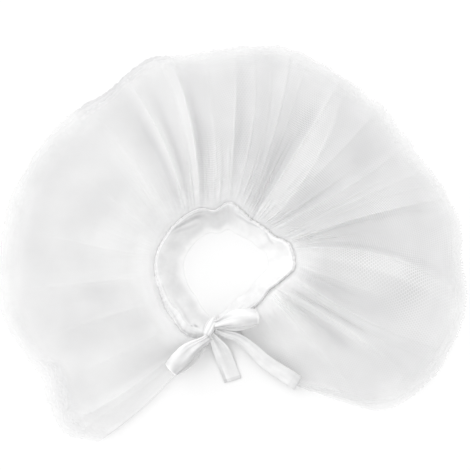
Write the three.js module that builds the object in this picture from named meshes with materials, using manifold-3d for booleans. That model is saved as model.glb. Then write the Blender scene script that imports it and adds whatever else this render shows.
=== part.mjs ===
// A dog's tutu, laid flat: three layers of tulle gathered onto a satin waistband, which is
// closed by a satin ribbon tied in a bow. Millimetres, +Z up. Places are measured from the
// middle of the waist; angles are degrees counter-clockwise from +X round that middle.
import * as THREE from "three";
import { mergeVertices } from "three/addons/utils/BufferGeometryUtils.js";
import Module from "manifold-3d";

const manifold = await Module();
manifold.setup();

const SEAM = 0.3; // gap left between two pieces that are sewn together
const CLOTH = 1.4; // wall of every piece of cloth
const RIBBON = 15; // width of the satin ribbon
const BAND_HEIGHT = 17; // top of the waistband above the floor
const LIP_DROP = 4.5; // how far the band turns down over the tulle
const TUCK = 2; // how far the tulle reaches in under that turned edge
const GATHERS = 40; // gathers of the tulle round the waist
const SKIRT = { from: -58, to: 234 }; // the skirt's two open edges, at the hem

// The waistband's rim: its radius, the radius of the foot that spreads on the floor inside
// it, and the width of the edge that turns down outside.
const bandRows = [
  { deg: -97, rim: 47, foot: 41, lip: 3 },
  { deg: -82, rim: 43, foot: 33, lip: 3 },
  { deg: -65, rim: 40, foot: 28, lip: 3 },
  { deg: -30, rim: 39.7, foot: 28, lip: 3 },
  { deg: -12, rim: 47.4, foot: 32, lip: 3 },
  { deg: 3, rim: 57.2, foot: 38, lip: 4 },
  { deg: 19, rim: 56.6, foot: 38, lip: 4 },
  { deg: 34, rim: 48, foot: 33, lip: 3 },
  { deg: 60, rim: 45.4, foot: 32, lip: 3 },
  { deg: 75, rim: 50, foot: 34, lip: 3 },
  { deg: 86, rim: 54.5, foot: 36, lip: 3 },
  { deg: 100, rim: 48.5, foot: 33, lip: 3 },
  { deg: 114, rim: 53.5, foot: 36, lip: 3 },
  { deg: 148, rim: 55.6, foot: 37, lip: 3 },
  { deg: 175, rim: 57.9, foot: 39, lip: 3.5 },
  { deg: 200, rim: 55, foot: 38, lip: 5 },
  { deg: 222, rim: 54.8, foot: 38, lip: 8 },
  { deg: 238, rim: 58.5, foot: 42, lip: 8 },
  { deg: 256, rim: 57, foot: 48, lip: 5 },
];

// The hem: its radius, and how far the upper layer's own hem falls short of it.
const hemRows = [
  { deg: -58, radius: 122, short: 4 },
  { deg: -53, radius: 138, short: 9 },
  { deg: -47.5, radius: 160, short: 12 },
  { deg: -43, radius: 182, short: 12 },
  { deg: -38, radius: 192, short: 9 },
  { deg: -27, radius: 205, short: 8 },
  { deg: -20, radius: 208, short: 7 },
  { deg: -9, radius: 211, short: 8 },
  { deg: 1, radius: 205.6, short: 6 },
  { deg: 11, radius: 208, short: 8 },
  { deg: 21, radius: 201, short: 6 },
  { deg: 30, radius: 195, short: 6 },
  { deg: 48, radius: 196.5, short: 7 },
  { deg: 57, radius: 194.5, short: 6 },
  { deg: 75, radius: 198, short: 7 },
  { deg: 89, radius: 190.5, short: 6 },
  { deg: 100, radius: 188, short: 5 },
  { deg: 109, radius: 193.5, short: 6 },
  { deg: 125, radius: 184, short: 6 },
  { deg: 140, radius: 190.5, short: 8 },
  { deg: 155, radius: 194.5, short: 8 },
  { deg: 172, radius: 195.7, short: 8 },
  { deg: 187, radius: 198, short: 8 },
  { deg: 197, radius: 193.5, short: 8 },
  { deg: 205, radius: 188, short: 7 },
  { deg: 210, radius: 185, short: 14 },
  { deg: 218, radius: 195, short: 18 },
  { deg: 225, radius: 200, short: 14 },
  { deg: 234, radius: 187, short: 6 },
];

// The folds that run from the waist to the hem. A fold leaves the waist at `waist` and meets
// the hem at `hem`, bowed sideways by `bend`; its crest is `height` over the cloth beside it
// and `width` degrees to each side, tallest at `peak` of the way down and gone at `reach`.
const foldRows = [
  { waist: -75, hem: -58, bend: -11, height: 0, width: 3, peak: 0.5, reach: 1 },
  { waist: -50, hem: -50, bend: -6, height: 2.5, width: 2.5, peak: 0.3, reach: 0.9 },
  { waist: -29, hem: -43.5, bend: 0, height: 6, width: 3.2, peak: 0.4, reach: 1.1 },
  { waist: -20, hem: -31, bend: 4, height: 9, width: 4, peak: 0.45, reach: 1.2 },
  { waist: -4, hem: -20.5, bend: -7, height: 8, width: 3, peak: 0.35, reach: 1.1 },
  { waist: 3, hem: -13, bend: 0, height: 4, width: 3, peak: 0.2, reach: 0.6 },
  { waist: 13, hem: -5.7, bend: 12, height: 13, width: 3.6, peak: 0.4, reach: 1.3 },
  { waist: 22, hem: 17, bend: 6, height: 9, width: 3.6, peak: 0.45, reach: 1.2 },
  { waist: 30, hem: 26, bend: 1, height: 4, width: 4, peak: 0.6, reach: 1.1 },
  { waist: 41, hem: 34, bend: -4, height: 9, width: 3, peak: 0.3, reach: 1 },
  { waist: 51, hem: 46, bend: -3, height: 5, width: 5, peak: 0.7, reach: 1.2 },
  { waist: 58, hem: 58, bend: -2, height: 12, width: 4.2, peak: 0.45, reach: 1.2 },
  { waist: 72, hem: 73, bend: -6, height: 7, width: 5, peak: 0.7, reach: 1.1 },
  { waist: 82, hem: 83, bend: -9, height: 8, width: 2.8, peak: 0.4, reach: 1.2 },
  { waist: 89, hem: 89, bend: -2, height: 5, width: 2.2, peak: 0.5, reach: 1.2 },
  { waist: 98, hem: 95, bend: -3, height: 7, width: 3.2, peak: 0.35, reach: 0.9 },
  { waist: 114, hem: 104.5, bend: -7, height: 9, width: 3, peak: 0.4, reach: 1.2 },
  { waist: 125, hem: 117.5, bend: -7, height: 10, width: 3, peak: 0.45, reach: 1.2 },
  { waist: 142, hem: 130, bend: -3, height: 6, width: 5.5, peak: 0.4, reach: 1.1 },
  { waist: 157, hem: 145, bend: 0, height: 5, width: 5, peak: 0.3, reach: 0.8 },
  { waist: 170, hem: 168, bend: 4, height: 6, width: 6, peak: 0.45, reach: 1.1 },
  { waist: 186, hem: 186, bend: 0, height: 7, width: 4.5, peak: 0.5, reach: 1.1 },
  { waist: 205, hem: 201, bend: 0, height: 5, width: 5, peak: 0.4, reach: 1 },
  { waist: 228, hem: 214, bend: 3, height: 5, width: 4.5, peak: 0.5, reach: 1 },
  { waist: 245, hem: 225, bend: 6, height: 3.5, width: 3, peak: 0.7, reach: 1.2 },
  { waist: 252, hem: 234, bend: 7, height: 0, width: 3, peak: 0.5, reach: 1 },
];

// The layers, from the floor up. `lift` counts the layers below, `fold` is the share of each
// fold that the layer takes up and `settle` what its own weight takes off that. `puff` and
// `gather` are how far it springs up beside the waist, and `short` its share of the shorter hem.
const layers = [
  {
    name: "tulle_lower",
    columns: 2 * GATHERS,
    lift: 0,
    fold: 0.35,
    settle: 0.9,
    puff: 0,
    gather: 0,
    short: 0,
  },
  {
    name: "tulle_middle",
    columns: 2 * GATHERS,
    lift: 1,
    fold: 0.65,
    settle: 0,
    puff: 0.5,
    gather: 0,
    short: 0.5,
  },
  {
    name: "tulle_upper",
    columns: 4 * GATHERS,
    lift: 2,
    fold: 1,
    settle: 0,
    puff: 2.5,
    gather: 2.2,
    short: 1,
  },
];
const COARSE_STEPS = [0, 0.08, 0.27, 0.44, 0.63, 1]; // waist to hem
const FINE_STEPS = [0, 0.03, 0.08, 0.15, 0.27, 0.44, 0.63, 0.82, 1];
const WAIST_DROP = 6.4; // underside of the lowest layer at the waist
const FLAT_FROM = { edge: 0.3, skirt: 0.55 }; // where that layer has come down to the floor
const EDGE_DEGREES = 22; // how far in from an open edge the cloth lies lower
const LAYER_GAP = { waist: CLOTH + SEAM, skirt: 2.8 }; // from one layer to the next

// The knot: a padded oval that wraps the crossing of the ribbons.
const KNOT = { x: -12.4, y: -49.5, z: 18, length: 19, width: 8.4, height: 13, turn: 63 };

// The bow's loops: where each leaves the knot and where it turns back.
const loops = [
  {
    name: "bow_loop_left",
    root: { x: -13.8, y: -58.2, z: 20.5 },
    tip: { x: -46, y: -86.2, z: 19 },
    open: 3.3,
    shift: 2.6,
    pleat: 0.9,
  },
  {
    name: "bow_loop_right",
    root: { x: -9, y: -47.8, z: 21.5 },
    tip: { x: 27, y: -40.5, z: 24.5 },
    open: 4,
    shift: 1.2,
    pleat: 0.9,
  },
];
const LOOP_STEPS = 16;

// The bow's tails: the middle line of the ribbon, its width there, the direction of its left
// edge in plan and how far that edge is raised.
const tails = [
  {
    name: "bow_tail_centre",
    pleat: 0.6,
    rows: [
      { x: -13, y: -55, z: 12.4, width: 5, side: 20, lean: 0 },
      { x: -8.5, y: -62, z: 10.5, width: 9, side: 25, lean: 8 },
      { x: -3.8, y: -70, z: 6, width: 14, side: 22, lean: 10 },
      { x: -0.6, y: -80, z: 2, width: RIBBON, side: 19, lean: 4 },
      { x: 2.3, y: -89, z: 0.71, width: RIBBON, side: 17, lean: 0 },
      { x: 5.3, y: -97.5, z: 0.71, width: RIBBON, side: 17, lean: 0 },
    ],
  },
  {
    name: "bow_tail_right",
    pleat: 0.6,
    rows: [
      { x: -8.5, y: -52.3, z: 14.6, width: 4.5, side: 75, lean: 5 },
      { x: 0, y: -56, z: 12.5, width: 7, side: 68, lean: 20 },
      { x: 9.5, y: -59, z: 11.5, width: 10, side: 60, lean: 38 },
      { x: 21, y: -67, z: 11.2, width: 13, side: 50, lean: 38 },
      { x: 33, y: -78.5, z: 11.2, width: RIBBON, side: 47, lean: 36 },
      { x: 46.5, y: -88, z: 10.9, width: RIBBON, side: 55, lean: 31 },
      { x: 63, y: -98.5, z: 10, width: RIBBON, side: 62, lean: 26 },
    ],
  },
];
const TAIL_STEPS = 14;
const RIBBON_COLUMNS = 8;

const fabric = (color, roughness) =>
  new THREE.MeshStandardMaterial({ color, roughness, metalness: 0, side: THREE.DoubleSide });
const tulle = fabric(0xf1f1f1, 0.9);
const satin = fabric(0xfafafa, 0.4);

const radians = THREE.MathUtils.degToRad;
const { lerp, smoothstep } = THREE.MathUtils;

// A point at a radius and an angle round the middle of the waist.
function polar(radius, deg, z) {
  return new THREE.Vector3(radius * Math.cos(radians(deg)), radius * Math.sin(radians(deg)), z);
}

// A smooth curve through one column of a table that never swings past its rows.
function curveThrough(rows, from, to) {
  const x = rows.map((row) => row[from]);
  const y = rows.map((row) => row[to]);
  const slopes = x.slice(1).map((end, i) => (y[i + 1] - y[i]) / (end - x[i]));
  const tangents = x.map((_, i) => {
    const before = slopes[i - 1] ?? slopes[i];
    const after = slopes[i] ?? slopes[i - 1];
    return before * after <= 0 ? 0 : (2 * before * after) / (before + after);
  });
  return (at) => {
    const next = x.findIndex((value, i) => i > 0 && at <= value);
    const i = next < 0 ? x.length - 2 : next - 1;
    const span = x[i + 1] - x[i];
    const s = THREE.MathUtils.clamp((at - x[i]) / span, 0, 1);
    const start = (1 + 2 * s) * (1 - s) ** 2 * y[i] + s * (1 - s) ** 2 * span * tangents[i];
    const end = s * s * (3 - 2 * s) * y[i + 1] + s * s * (s - 1) * span * tangents[i + 1];
    return start + end;
  };
}

const rimOf = curveThrough(bandRows, "deg", "rim");
const footOf = curveThrough(bandRows, "deg", "foot");
const lipOf = curveThrough(bandRows, "deg", "lip");
const hemOf = curveThrough(hemRows, "deg", "radius");
const shortOf = curveThrough(hemRows, "deg", "short");
const waistOf = curveThrough(foldRows, "hem", "waist");
const bendOf = curveThrough(foldRows, "hem", "bend");

// A closed wall between two grids of points, joined round their four edges. The front lies
// on the side that a turn from down a column to along a row points to.
function wallBetween(front, back) {
  const rows = front.length;
  const columns = front[0].length;
  const lastRow = rows - 1;
  const lastColumn = columns - 1;
  const positions = [...front.flat(), ...back.flat()].flatMap((point) => point.toArray());
  const index = [];
  const at = (side, i, j) => (side * rows + i) * columns + j;
  const quad = (a, b, c, d) => index.push(a, b, c, a, c, d);
  const edge = (i, j, k, l) => quad(at(0, i, j), at(1, i, j), at(1, k, l), at(0, k, l));
  for (let i = 0; i < lastRow; i += 1) {
    for (let j = 0; j < lastColumn; j += 1) {
      quad(at(0, i, j), at(0, i + 1, j), at(0, i + 1, j + 1), at(0, i, j + 1));
      quad(at(1, i, j), at(1, i, j + 1), at(1, i + 1, j + 1), at(1, i + 1, j));
    }
    edge(i, 0, i + 1, 0);
    edge(i + 1, lastColumn, i, lastColumn);
  }
  for (let j = 0; j < lastColumn; j += 1) {
    edge(0, j + 1, 0, j);
    edge(lastRow, j, lastRow, j + 1);
  }
  const geometry = new THREE.BufferGeometry();
  geometry.setAttribute("position", new THREE.Float32BufferAttribute(positions, 3));
  geometry.setIndex(index);
  return geometry;
}

// The height of every fold at one place: `t` runs from 0 at the waist to 1 at the hem.
function foldHeight(hemDeg, t) {
  return foldRows.reduce((sum, fold) => {
    const across = Math.exp(-(((hemDeg - fold.hem) / fold.width) ** 2));
    const rise = smoothstep(t, 0, fold.peak);
    const fall = 1 - smoothstep(t, fold.peak, fold.reach);
    return sum + fold.height * across * rise * fall;
  }, 0);
}

// A place on a layer of tulle, on its underside.
function onSkirt(layer, hemDeg, t) {
  const waistDeg = waistOf(hemDeg);
  const start = polar(rimOf(waistDeg) + lipOf(waistDeg) - TUCK, waistDeg, 0);
  const end = polar(hemOf(hemDeg) - layer.short * shortOf(hemDeg), hemDeg, 0);
  const place = start.clone().lerp(end, t);
  const sideways = new THREE.Vector3(start.y - end.y, end.x - start.x, 0).normalize();
  place.addScaledVector(sideways, 4 * t * (1 - t) * bendOf(hemDeg));

  const inside = smoothstep(Math.min(hemDeg - SKIRT.from, SKIRT.to - hemDeg), 0, EDGE_DEGREES);
  const fall = 1 - smoothstep(t, 0.02, lerp(FLAT_FROM.edge, FLAT_FROM.skirt, inside));
  const gap = lerp(LAYER_GAP.waist, LAYER_GAP.skirt, smoothstep(t, 0, 0.1));
  const spring = lerp(0.2, 1, inside) * smoothstep(t, 0.02, 0.14) * (1 - smoothstep(t, 0.14, 0.45));
  const turn = ((hemDeg - SKIRT.from) / (SKIRT.to - SKIRT.from)) * GATHERS * 2 * Math.PI;
  const gather = layer.gather * (0.5 - 0.5 * Math.cos(turn)) * spring;
  place.z = WAIST_DROP * fall + layer.lift * gap + layer.puff * spring + gather;
  place.z += Math.max(0, layer.fold * foldHeight(hemDeg, t) - layer.settle);
  return place;
}

function tulleLayer(layer) {
  const steps = layer.gather > 0 ? FINE_STEPS : COARSE_STEPS;
  const under = steps.map((t) =>
    Array.from({ length: layer.columns + 1 }, (_, j) =>
      onSkirt(layer, lerp(SKIRT.from, SKIRT.to, j / layer.columns), t),
    ),
  );
  const over = under.map((row) =>
    row.map((point) => point.clone().add(new THREE.Vector3(0, 0, CLOTH))),
  );
  return wallBetween(over, under);
}

// The waistband's middle line at one angle, from its foot over the rim to the turned edge.
function bandSection(deg) {
  const rim = rimOf(deg);
  const foot = footOf(deg);
  const lip = lipOf(deg);
  return [
    { r: foot, z: 0 },
    { r: lerp(foot, rim, 0.2), z: 0.08 * BAND_HEIGHT },
    { r: lerp(foot, rim, 0.48), z: 0.28 * BAND_HEIGHT },
    { r: lerp(foot, rim, 0.74), z: 0.57 * BAND_HEIGHT },
    { r: lerp(foot, rim, 0.92), z: 0.87 * BAND_HEIGHT },
    { r: rim, z: BAND_HEIGHT - CLOTH / 2 },
    { r: rim + 0.45 * lip, z: BAND_HEIGHT - 1.7 },
    { r: rim + lip, z: BAND_HEIGHT - LIP_DROP },
  ];
}

// The same line moved half the cloth's wall to one side.
function besideSection(section, distance) {
  return section.map((point, i) => {
    const before = section[Math.max(0, i - 1)];
    const after = section[Math.min(section.length - 1, i + 1)];
    const end = i === 0 ? section[1] : after;
    const normal = new THREE.Vector2(before.z - end.z, end.r - before.r).normalize();
    if (i === 0) normal.set(-1, 0);
    return { r: point.r + normal.x * distance, z: point.z + normal.y * distance };
  });
}

function waistband() {
  const columns = 76;
  const from = bandRows[0].deg;
  const to = bandRows[bandRows.length - 1].deg;
  const degrees = Array.from({ length: columns + 1 }, (_, j) => lerp(from, to, j / columns));
  const sections = degrees.map((deg) => bandSection(deg));
  const side = (distance) => {
    const moved = sections.map((section) => besideSection(section, distance));
    const ring = (i) => moved.map((section, j) => polar(section[i].r, degrees[j], section[i].z));
    return moved[0].map((_, i) => ring(i));
  };
  return wallBetween(side(CLOTH / 2), side(-CLOTH / 2));
}

// A ribbon along a row of stations. Each has its middle point, its width, the direction of
// its left edge in plan, how far that edge is raised and the depth of its pleats.
function ribbon(stations) {
  const along = stations.map((station, i) => {
    const before = stations[Math.max(0, i - 1)];
    const after = stations[Math.min(stations.length - 1, i + 1)];
    return new THREE.Vector3(after.x - before.x, after.y - before.y, after.z - before.z).normalize();
  });
  const face = (distance) =>
    stations.map((station, i) => {
      const left = polar(Math.cos(radians(station.lean)), station.side, Math.sin(radians(station.lean)));
      const up = along[i].clone().cross(left).normalize();
      return Array.from({ length: RIBBON_COLUMNS + 1 }, (_, j) => {
        const across = j / RIBBON_COLUMNS - 0.5;
        const pleat = station.pleat * Math.cos(across * 4 * Math.PI);
        return new THREE.Vector3(station.x, station.y, station.z)
          .addScaledVector(left, across * station.width)
          .addScaledVector(up, distance + pleat);
      });
    });
  return wallBetween(face(CLOTH / 2), face(-CLOTH / 2));
}

// A loop of the bow: out from the knot, round the tip and back underneath.
function loopStations(loop) {
  const { root, tip } = loop;
  const reach = new THREE.Vector2(tip.x - root.x, tip.y - root.y);
  const heading = THREE.MathUtils.radToDeg(reach.angle());
  const side = tip.x > root.x ? heading + 90 : heading - 90;
  return Array.from({ length: LOOP_STEPS + 1 }, (_, i) => {
    const turn = (Math.PI * i) / LOOP_STEPS;
    const out = Math.sin(turn);
    const shift = loop.shift * Math.cos(turn);
    const apart = loop.open * Math.sin(2 * turn) + 1.6 * Math.cos(turn);
    return {
      x: root.x + reach.x * out + shift * Math.cos(radians(side)),
      y: root.y + reach.y * out + shift * Math.sin(radians(side)),
      z: lerp(root.z, tip.z, out) + apart,
      width: lerp(5.5, RIBBON, smoothstep(out, 0.05, 0.95)),
      side,
      lean: 0,
      pleat: loop.pleat * (1 - smoothstep(out, 0.1, 0.8)),
    };
  });
}

// A tail of the bow: its short table of rows, taken in even steps along a smooth line.
function tailStations(tail) {
  const { rows } = tail;
  const place = rows.map((row, i) => ({ at: i / (rows.length - 1), ...row }));
  const columns = ["x", "y", "z", "width", "side", "lean"];
  const curves = columns.map((column) => curveThrough(place, "at", column));
  return Array.from({ length: TAIL_STEPS + 1 }, (_, i) => {
    const at = i / TAIL_STEPS;
    const values = columns.map((column, k) => [column, curves[k](at)]);
    return { ...Object.fromEntries(values), pleat: tail.pleat * (1 - smoothstep(at, 0.1, 0.7)) };
  });
}

// The knot, with its wrap drawn into lengthwise folds. `grow` widens it all round.
function knot(grow) {
  const geometry = new THREE.SphereGeometry(1, 20, 12);
  const position = geometry.getAttribute("position");
  const point = new THREE.Vector3();
  for (let i = 0; i < position.count; i += 1) {
    point.fromBufferAttribute(position, i);
    const round = Math.atan2(point.z, point.x);
    const full = 1 + 0.05 * Math.cos(6 * round) * (1 - point.y * point.y);
    point.set(
      point.x * full * (KNOT.width / 2 + grow),
      point.y * (KNOT.length / 2 + grow),
      point.z * full * (KNOT.height / 2 + grow),
    );
    position.setXYZ(i, point.x, point.y, point.z);
  }
  geometry.rotateZ(radians(KNOT.turn - 90));
  geometry.translate(KNOT.x, KNOT.y, KNOT.z);
  return geometry;
}

function solidOf(geometry) {
  const bare = geometry.clone();
  bare.deleteAttribute("normal");
  bare.deleteAttribute("uv");
  const merged = mergeVertices(bare, 1e-4);
  return new manifold.Manifold(
    new manifold.Mesh({
      numProp: 3,
      vertProperties: merged.getAttribute("position").array,
      triVerts: new Uint32Array(merged.index.array),
    }),
  );
}

// What is left of a piece clear of the knot: its largest part.
const knotRoom = solidOf(knot(SEAM));
function clearOfKnot(geometry) {
  const parts = solidOf(geometry).subtract(knotRoom).decompose();
  const largest = parts.reduce((best, part) => (part.volume() > best.volume() ? part : best));
  const mesh = largest.getMesh();
  const cut = new THREE.BufferGeometry();
  cut.setAttribute("position", new THREE.BufferAttribute(mesh.vertProperties, 3));
  cut.setIndex(new THREE.BufferAttribute(mesh.triVerts, 1));
  return cut;
}

function piece(name, geometry, material) {
  geometry.computeVertexNormals();
  const mesh = new THREE.Mesh(geometry, material);
  mesh.name = name;
  return mesh;
}

const tutu = new THREE.Group();
for (const layer of layers) {
  tutu.add(piece(layer.name, tulleLayer(layer), tulle));
}
tutu.add(piece("waistband", clearOfKnot(waistband()), satin));
tutu.add(piece("bow_knot", knot(0), satin));
for (const loop of loops) {
  tutu.add(piece(loop.name, clearOfKnot(ribbon(loopStations(loop))), satin));
}
for (const tail of tails) {
  tutu.add(piece(tail.name, clearOfKnot(ribbon(tailStations(tail))), satin));
}

// The origin is the middle of the underside.
const box = new THREE.Box3().setFromObject(tutu);
const middle = box.getCenter(new THREE.Vector3());
tutu.position.set(-middle.x, -middle.y, -box.min.z);

export default tutu;
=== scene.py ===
import math

import bmesh
import bpy
import numpy as np
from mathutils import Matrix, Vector


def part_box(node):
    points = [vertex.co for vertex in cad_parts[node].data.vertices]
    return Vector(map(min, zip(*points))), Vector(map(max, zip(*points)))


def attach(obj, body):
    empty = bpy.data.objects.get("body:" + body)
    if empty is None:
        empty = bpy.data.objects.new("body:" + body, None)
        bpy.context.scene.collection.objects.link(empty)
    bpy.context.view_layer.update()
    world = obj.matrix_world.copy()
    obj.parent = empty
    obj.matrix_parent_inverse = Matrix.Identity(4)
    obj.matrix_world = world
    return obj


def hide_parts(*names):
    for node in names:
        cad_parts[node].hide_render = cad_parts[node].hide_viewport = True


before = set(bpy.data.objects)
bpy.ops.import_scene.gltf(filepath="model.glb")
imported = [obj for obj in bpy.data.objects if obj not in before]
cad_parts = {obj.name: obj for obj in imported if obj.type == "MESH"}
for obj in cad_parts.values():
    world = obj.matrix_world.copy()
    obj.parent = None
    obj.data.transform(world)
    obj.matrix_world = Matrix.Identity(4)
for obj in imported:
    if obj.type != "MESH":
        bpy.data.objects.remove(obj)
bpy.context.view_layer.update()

# Lengths in the dictionaries below are millimetres from the middle of the waist, with +X to
# the right, -Y towards the bow and +Z up; angles are degrees counter-clockwise from +X.
millimetre = 0.001
knotMiddle = (-12.4, -49.5)  # middle of the knot, which fixes where the waist lies
knotLow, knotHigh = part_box("bow_knot")
waistX = (knotLow[0] + knotHigh[0]) / 2 - knotMiddle[0] * millimetre
waistY = (knotLow[1] + knotHigh[1]) / 2 - knotMiddle[1] * millimetre


def namedRows(columns, rows):
    return [dict(zip(columns.split(), row)) for row in rows]


# The waistband's rim, the foot inside it on the floor, and the edge that turns down outside.
bandRows = namedRows("deg rim foot lip", [
    (-97, 47, 41, 3), (-82, 43, 33, 3), (-65, 40, 28, 3), (-30, 39.7, 28, 3), (-12, 47.4, 32, 3),
    (3, 57.2, 38, 4), (19, 56.6, 38, 4), (34, 48, 33, 3), (60, 45.4, 32, 3),
    (75, 50, 34, 3), (86, 54.5, 36, 3), (100, 48.5, 33, 3), (114, 53.5, 36, 3),
    (148, 55.6, 37, 3), (175, 57.9, 39, 3.5), (200, 55, 38, 5), (222, 54.8, 38, 8),
    (238, 58.5, 42, 8), (256, 57, 48, 5),
])

# The hem's radius, and how far the upper layer's own hem falls short of it.
hemRows = namedRows("deg radius short", [
    (-58, 122, 4), (-53, 138, 9), (-47.5, 160, 12), (-43, 182, 12), (-38, 192, 9),
    (-27, 205, 8), (-20, 208, 7), (-9, 211, 8), (1, 205.6, 6), (11, 208, 8),
    (21, 201, 6), (30, 195, 6), (48, 196.5, 7), (57, 194.5, 6), (75, 198, 7),
    (89, 190.5, 6), (100, 188, 5), (109, 193.5, 6), (125, 184, 6), (140, 190.5, 8),
    (155, 194.5, 8), (172, 195.7, 8), (187, 198, 8), (197, 193.5, 8), (205, 188, 7),
    (210, 185, 14), (218, 195, 18), (225, 200, 14), (234, 187, 6),
])

# The main folds, from where each leaves the waist to where it meets the hem. A fold that
# leans clockwise (-1) or counter-clockwise (1) lies over as a flat pleat on that side, `start`
# and `end` degrees wide at the waist and the hem, and is steep on the other. The last column is
# how strongly painted light shows on its crest and painted shade in its valley, in the net.
foldRows = namedRows("waist hem bend height width peak reach lean start end mark", [
    (-75, -58, -11, 0, 3, 0.5, 1, 0, 3, 3, 0),
    (-50, -50, -6, 2.5, 2.5, 0.3, 0.9, 0, 3, 3, 0),
    (-29, -43.5, 0, 6, 3.2, 0.4, 1.1, 0, 3, 3, 0.35),
    (-20, -31, 4, 9, 4, 0.45, 1.2, 0, 3, 5, 1.5),
    (-4, -20.5, -7, 8, 3, 0.35, 1.1, -1, 6, 4, 0.6),
    (3, -13, 0, 4, 3, 0.2, 0.6, 1, 4, 3, 0.4),
    (16, -5.7, 14, 11, 3.6, 0.4, 1.3, -1, 3.5, 4, 1.0),
    (22.3, 17.5, 4, 7, 3.6, 0.45, 1.2, 1, 7, 5, 0.3),
    (31, 26, 1, 4, 4, 0.6, 1.1, 0, 4, 4, 0.3),
    (41, 34, -4, 9, 3, 0.3, 1, -1, 7, 5, 0.6),
    (51, 46, -3, 5, 5, 0.7, 1.2, 0, 5, 5, 0.2),
    (60, 58.5, -1, 12, 4.2, 0.4, 1.2, -1, 17, 2, 1.9),
    (72, 73, -6, 7, 5, 0.7, 1.1, -1, 5, 5, 0.2),
    (83, 82.5, -8, 6, 2.8, 0.4, 1.2, -1, 7, 5, 0.3),
    (87, 87, -2, 5, 2.2, 0.45, 1.2, 1, 11, 9, 0.4),
    (98, 95, -3, 5, 3.2, 0.35, 0.9, 0, 3, 3, 0.15),
    (114, 104.5, -7, 9, 3, 0.4, 1.2, 1, 3, 3, 1.3),
    (125, 117.5, -7, 10, 3, 0.45, 1.2, 0, 3, 3, 1.2),
    (142, 130, -3, 5, 5.5, 0.4, 1.1, 0, 5, 5, 0.3),
    (157, 145, 0, 3, 5, 0.3, 0.8, 0, 5, 5, 0.1),
    (170, 168, 4, 3.5, 6, 0.45, 1.1, 0, 6, 6, 0.1),
    (186, 186, 0, 3.5, 4.5, 0.5, 1.1, 0, 5, 5, 0.15),
    (205, 201, 0, 3, 5, 0.4, 1, 0, 5, 5, 0.1),
    (228, 214, 3, 3, 4.5, 0.5, 1, 0, 5, 5, 0.1),
    (245, 225, 6, 3.5, 3, 0.7, 1.2, 1, 3, 3, 0.3),
    (252, 234, 7, 0, 3, 0.5, 1, 0, 3, 3, 0),
])


def curveThrough(rows, fromColumn, toColumn):
    # a smooth curve through one column of a table, which never swings past its rows
    x = np.array([row[fromColumn] for row in rows], float)
    y = np.array([row[toColumn] for row in rows], float)
    slopes = np.diff(y) / np.diff(x)
    before = np.concatenate([slopes[:1], slopes])
    after = np.concatenate([slopes, slopes[-1:]])
    level = before * after <= 0
    total = np.where(level, 1, before + after)
    tangents = np.where(level, 0, 2 * before * after / total)

    def at(value):
        i = np.clip(np.searchsorted(x, value, side="left") - 1, 0, len(x) - 2)
        span = x[i + 1] - x[i]
        s = np.clip((value - x[i]) / span, 0, 1)
        start = (1 + 2 * s) * (1 - s) ** 2 * y[i] + s * (1 - s) ** 2 * span * tangents[i]
        end = s * s * (3 - 2 * s) * y[i + 1] + s * s * (s - 1) * span * tangents[i + 1]
        return start + end

    return at


rimAt = curveThrough(bandRows, "deg", "rim")
footAt = curveThrough(bandRows, "deg", "foot")
lipAt = curveThrough(bandRows, "deg", "lip")
hemAt = curveThrough(hemRows, "deg", "radius")
shortAt = curveThrough(hemRows, "deg", "short")
waistDegAt = curveThrough(foldRows, "hem", "waist")
bendAt = curveThrough(foldRows, "hem", "bend")


def smoothStep(value, low, high):
    s = np.clip((value - low) / (high - low), 0, 1)
    return s * s * (3 - 2 * s)


def between(value, rise, full, fall, end):
    # comes on from rise to full, and dies out from fall to end
    return smoothStep(value, rise, full) * (1 - smoothStep(value, fall, end))


def bell(value, middle, width):
    return np.exp(-(((value - middle) / width) ** 2))


def polar(radius, deg):
    return radius * np.cos(np.radians(deg)), radius * np.sin(np.radians(deg))


def placed(points):
    # from millimetres round the waist to metres in the model's frame
    return np.asarray(points, float) * millimetre + np.array([waistX, waistY, 0])


def meshObject(name, points, faces, uv, values):
    mesh = bpy.data.meshes.new(name)
    mesh.from_pydata(placed(points).tolist(), [], faces.tolist())
    corners = np.empty(len(mesh.loops), dtype=np.int32)
    mesh.loops.foreach_get("vertex_index", corners)
    layer = mesh.uv_layers.new(name="UVMap")
    layer.data.foreach_set("uv", (np.asarray(uv) * millimetre)[corners].ravel())
    for key, value in values.items():
        attribute = mesh.attributes.new(key, "FLOAT", "POINT")
        attribute.data.foreach_set("value", np.asarray(value, np.float32).ravel())
    mesh.polygons.foreach_set("use_smooth", np.ones(len(mesh.polygons), dtype=bool))
    mesh.update()
    piece = bpy.data.objects.new(name, mesh)
    bpy.context.collection.objects.link(piece)
    return piece


def gridFaces(rows, columns, offset=0, turned=False):
    i, j = np.meshgrid(np.arange(rows - 1), np.arange(columns - 1), indexing="ij")
    a = (offset + i * columns + j).ravel()
    quads = np.stack([a, a + columns, a + columns + 1, a + 1], axis=1)
    return quads[:, ::-1] if turned else quads


def sheetObject(name, points, uv, values):
    # an open sheet, rows from the waist outwards, columns counter-clockwise
    rows, columns = points.shape[:2]
    flatValues = {key: value.reshape(-1) for key, value in values.items()}
    return meshObject(name, points.reshape(-1, 3), gridFaces(rows, columns),
                      uv.reshape(-1, 2), flatValues)


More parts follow.
